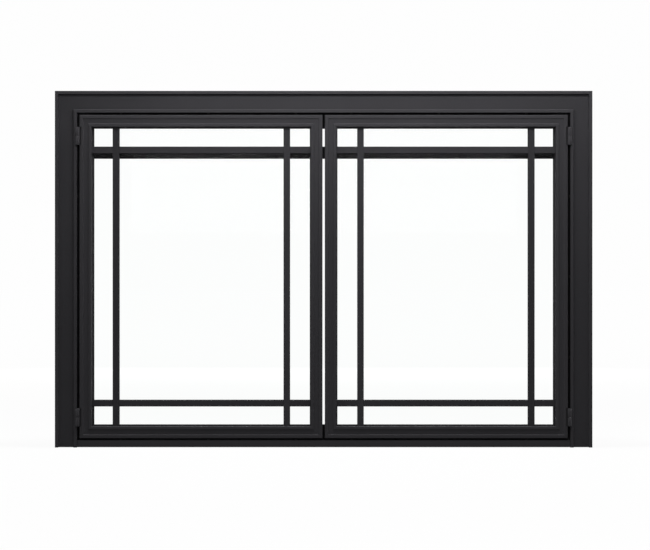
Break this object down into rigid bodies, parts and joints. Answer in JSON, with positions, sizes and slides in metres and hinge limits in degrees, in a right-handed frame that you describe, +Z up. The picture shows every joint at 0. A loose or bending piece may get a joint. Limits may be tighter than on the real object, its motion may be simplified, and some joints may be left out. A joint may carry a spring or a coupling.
{
  "type": "fireplace glass door",
  "caption": "Black steel fireplace front with a mitred surround, a sill and a pair of side-hinged glass doors with muntins; swings open to reach the firebox.",
  "frame": {"origin": "on the hearth, in the wall plane, on the line between the two doors: a point of the sill's underside", "axes": "+X to the right seen from the room, +Y back into the firebox (the front faces -Y), +Z up"},
  "size_m": [1.067, 0.082, 0.708],
  "materials": {
    "black_powder_coat": "fine satin black powder coat on formed steel and aluminium sections",
    "clear_glass": "clear tempered glass with ground edges",
    "zinc_plate": "dull zinc plate on pressed steel clips, brackets and screws",
    "blackened_screw": "black oxide on countersunk hinge screws",
    "steel_pin": "turned steel hinge pins, dark",
    "cast_key": "raw die-cast corner keys, hidden in the door frame",
    "fibre_gasket": "flat woven fibre tape, charcoal",
    "catch_case": "black heat-proof case of a magnetic catch"
  },
  "bodies": {
    "surround": {"surround_top_rail": "black_powder_coat", "surround_left_stile": "black_powder_coat", "surround_right_stile": "black_powder_coat", "sill": "black_powder_coat", "head_stop": "black_powder_coat", "left_jamb": "black_powder_coat", "right_jamb": "black_powder_coat", "sill_stop": "black_powder_coat", "tie_bar": "black_powder_coat", "corner_brackets": "zinc_plate", "corner_nuts": "zinc_plate", "frame_screws": "zinc_plate", "rear_screws": "zinc_plate", "left_anchor_bracket": "black_powder_coat", "right_anchor_bracket": "black_powder_coat", "lintel_brackets": "black_powder_coat", "left_upper_frame_leaf": "black_powder_coat", "left_lower_frame_leaf": "black_powder_coat", "right_upper_frame_leaf": "black_powder_coat", "right_lower_frame_leaf": "black_powder_coat", "hinge_pins": "steel_pin", "frame_leaf_screws": "blackened_screw", "left_magnetic_catch": "catch_case", "right_magnetic_catch": "catch_case", "catch_screws": "zinc_plate"},
    "left_door": {"left_door_top_rail": "black_powder_coat", "left_door_bottom_rail": "black_powder_coat", "left_door_hinge_stile": "black_powder_coat", "left_door_meeting_stile": "black_powder_coat", "left_corner_keys": "cast_key", "left_glass": "clear_glass", "left_gasket": "fibre_gasket", "left_glass_clips": "zinc_plate", "left_clip_screws": "zinc_plate", "left_outer_muntin": "black_powder_coat", "left_inner_muntin": "black_powder_coat", "left_upper_muntin": "black_powder_coat", "left_lower_muntin": "black_powder_coat", "left_upper_door_leaf": "black_powder_coat", "left_lower_door_leaf": "black_powder_coat", "left_door_leaf_screws": "blackened_screw", "left_strike_plate": "zinc_plate"},
    "right_door": {"right_door_top_rail": "black_powder_coat", "right_door_bottom_rail": "black_powder_coat", "right_door_hinge_stile": "black_powder_coat", "right_door_meeting_stile": "black_powder_coat", "right_corner_keys": "cast_key", "right_glass": "clear_glass", "right_gasket": "fibre_gasket", "right_glass_clips": "zinc_plate", "right_clip_screws": "zinc_plate", "right_outer_muntin": "black_powder_coat", "right_inner_muntin": "black_powder_coat", "right_upper_muntin": "black_powder_coat", "right_lower_muntin": "black_powder_coat", "right_upper_door_leaf": "black_powder_coat", "right_lower_door_leaf": "black_powder_coat", "right_door_leaf_screws": "blackened_screw", "right_strike_plate": "zinc_plate"}
  },
  "joints": [
    {"name": "left_door_hinge", "type": "hinge", "parent": "surround", "child": "left_door", "pos_m": [-0.4884, -0.02, 0.3392], "axis": [0, 0, -1], "range_deg": [0, 175]},
    {"name": "right_door_hinge", "type": "hinge", "parent": "surround", "child": "right_door", "pos_m": [0.4884, -0.02, 0.3392], "axis": [0, 0, 1], "range_deg": [0, 175]}
  ]
}
